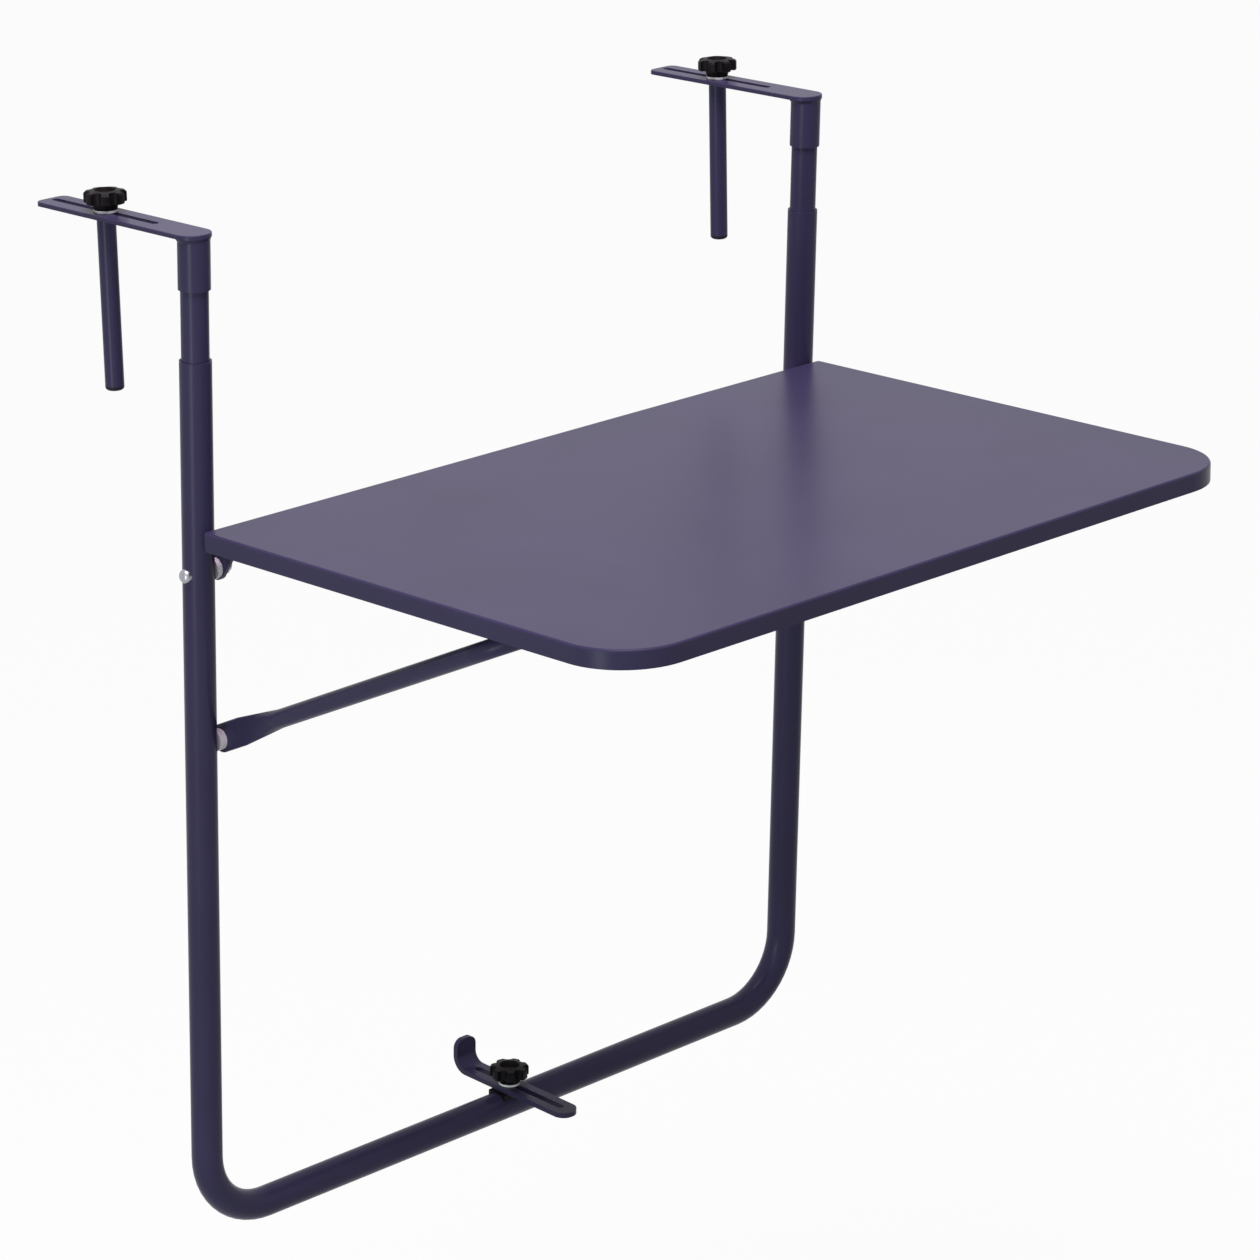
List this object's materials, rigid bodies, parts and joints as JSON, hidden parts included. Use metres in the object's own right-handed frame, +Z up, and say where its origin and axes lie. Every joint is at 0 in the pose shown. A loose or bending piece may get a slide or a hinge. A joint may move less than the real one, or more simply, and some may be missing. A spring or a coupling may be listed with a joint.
{
  "type": "folding balcony table",
  "caption": "Folding table that hangs on a balcony rail: pressed metal top hinged to a U-shaped tube frame, with clamp hooks, a folding support bail and a lower hook.",
  "frame": {"origin": "midway between the two hook plates, on the plane of the uprights' axes, level with the undersides of the hook plates that rest on the rail", "axes": "+X along the rail, +Y from the table towards the rail and out over it, +Z up"},
  "size_m": [0.6142, 0.5562, 0.7487],
  "materials": {
    "coated_steel": "satin powder coat, dark grey with a violet tint",
    "black_plastic": "fine-grained moulded black",
    "zinc_steel": "bright zinc plating",
    "white_nylon": "moulded off-white nylon"
  },
  "bodies": {
    "frame": {"frame_tube": "coated_steel", "hinge_bolts": "zinc_steel", "hinge_nuts": "zinc_steel", "hinge_spacers": "white_nylon", "bail_spacers": "white_nylon", "bail_bolts": "zinc_steel", "bail_inserts": "zinc_steel", "lower_saddle": "black_plastic", "lower_insert": "zinc_steel"},
    "tabletop": {"tabletop": "coated_steel", "tabletop_stiffener": "coated_steel", "left_hinge_ear": "coated_steel", "right_hinge_ear": "coated_steel", "bail_catches": "black_plastic", "catch_screws": "zinc_steel"},
    "bail": {"support_bail": "coated_steel"},
    "left_hook": {"left_extension_tube": "coated_steel", "left_hook_sleeve": "coated_steel", "left_hook_plate": "coated_steel"},
    "left_rod": {"left_clamp_rod": "coated_steel", "left_rod_insert": "zinc_steel", "left_rod_plug": "black_plastic", "left_knob_washer": "white_nylon"},
    "left_knob": {"left_star_knob": "black_plastic", "left_knob_stud": "zinc_steel"},
    "right_hook": {"right_extension_tube": "coated_steel", "right_hook_sleeve": "coated_steel", "right_hook_plate": "coated_steel"},
    "right_rod": {"right_clamp_rod": "coated_steel", "right_rod_insert": "zinc_steel", "right_rod_plug": "black_plastic", "right_knob_washer": "white_nylon"},
    "right_knob": {"right_star_knob": "black_plastic", "right_knob_stud": "zinc_steel"},
    "lower_hook": {"lower_hook": "coated_steel"},
    "lower_knob": {"lower_knob": "black_plastic", "lower_stud": "zinc_steel", "lower_washer": "white_nylon"}
  },
  "joints": [
    {"name": "tabletop_fold", "type": "hinge", "parent": "frame", "child": "tabletop", "pos_m": [0, 0.01099, -0.233], "axis": [1, 0, 0], "range_deg": [0, 92.7]},
    {"name": "bail_fold", "type": "hinge", "parent": "frame", "child": "bail", "pos_m": [0, 0.01684, -0.357], "axis": [1, 0, 0], "range_deg": [0, 117.35]},
    {"name": "left_extension_slide", "type": "slide", "parent": "frame", "child": "left_hook", "axis": [0, -0.0471, 0.9989], "range_m": [-0.045, 0.045]},
    {"name": "left_rod_slide", "type": "slide", "parent": "left_hook", "child": "left_rod", "axis": [0, 1, 0], "range_m": [-0.05, 0.052]},
    {"name": "left_knob_spin", "type": "hinge", "parent": "left_rod", "child": "left_knob", "pos_m": [-0.2925, 0.091, 0], "axis": [0, 0, 1], "continuous": true},
    {"name": "right_extension_slide", "type": "slide", "parent": "frame", "child": "right_hook", "axis": [0, -0.0471, 0.9989], "range_m": [-0.045, 0.045]},
    {"name": "right_rod_slide", "type": "slide", "parent": "right_hook", "child": "right_rod", "axis": [0, 1, 0], "range_m": [-0.05, 0.052]},
    {"name": "right_knob_spin", "type": "hinge", "parent": "right_rod", "child": "right_knob", "pos_m": [0.2925, 0.091, 0], "axis": [0, 0, 1], "continuous": true},
    {"name": "lower_hook_slide", "type": "slide", "parent": "frame", "child": "lower_hook", "axis": [0, 0.9989, 0.0471], "range_m": [-0.028, 0.052]},
    {"name": "lower_knob_spin", "type": "hinge", "parent": "frame", "child": "lower_knob", "pos_m": [0, 0.03312, -0.70222], "axis": [0, -0.0471, 0.9989], "continuous": true}
  ],
  "couplings": [
    {"joint": "bail_fold", "follows": "tabletop_fold", "ratio": 1.2658}
  ]
}
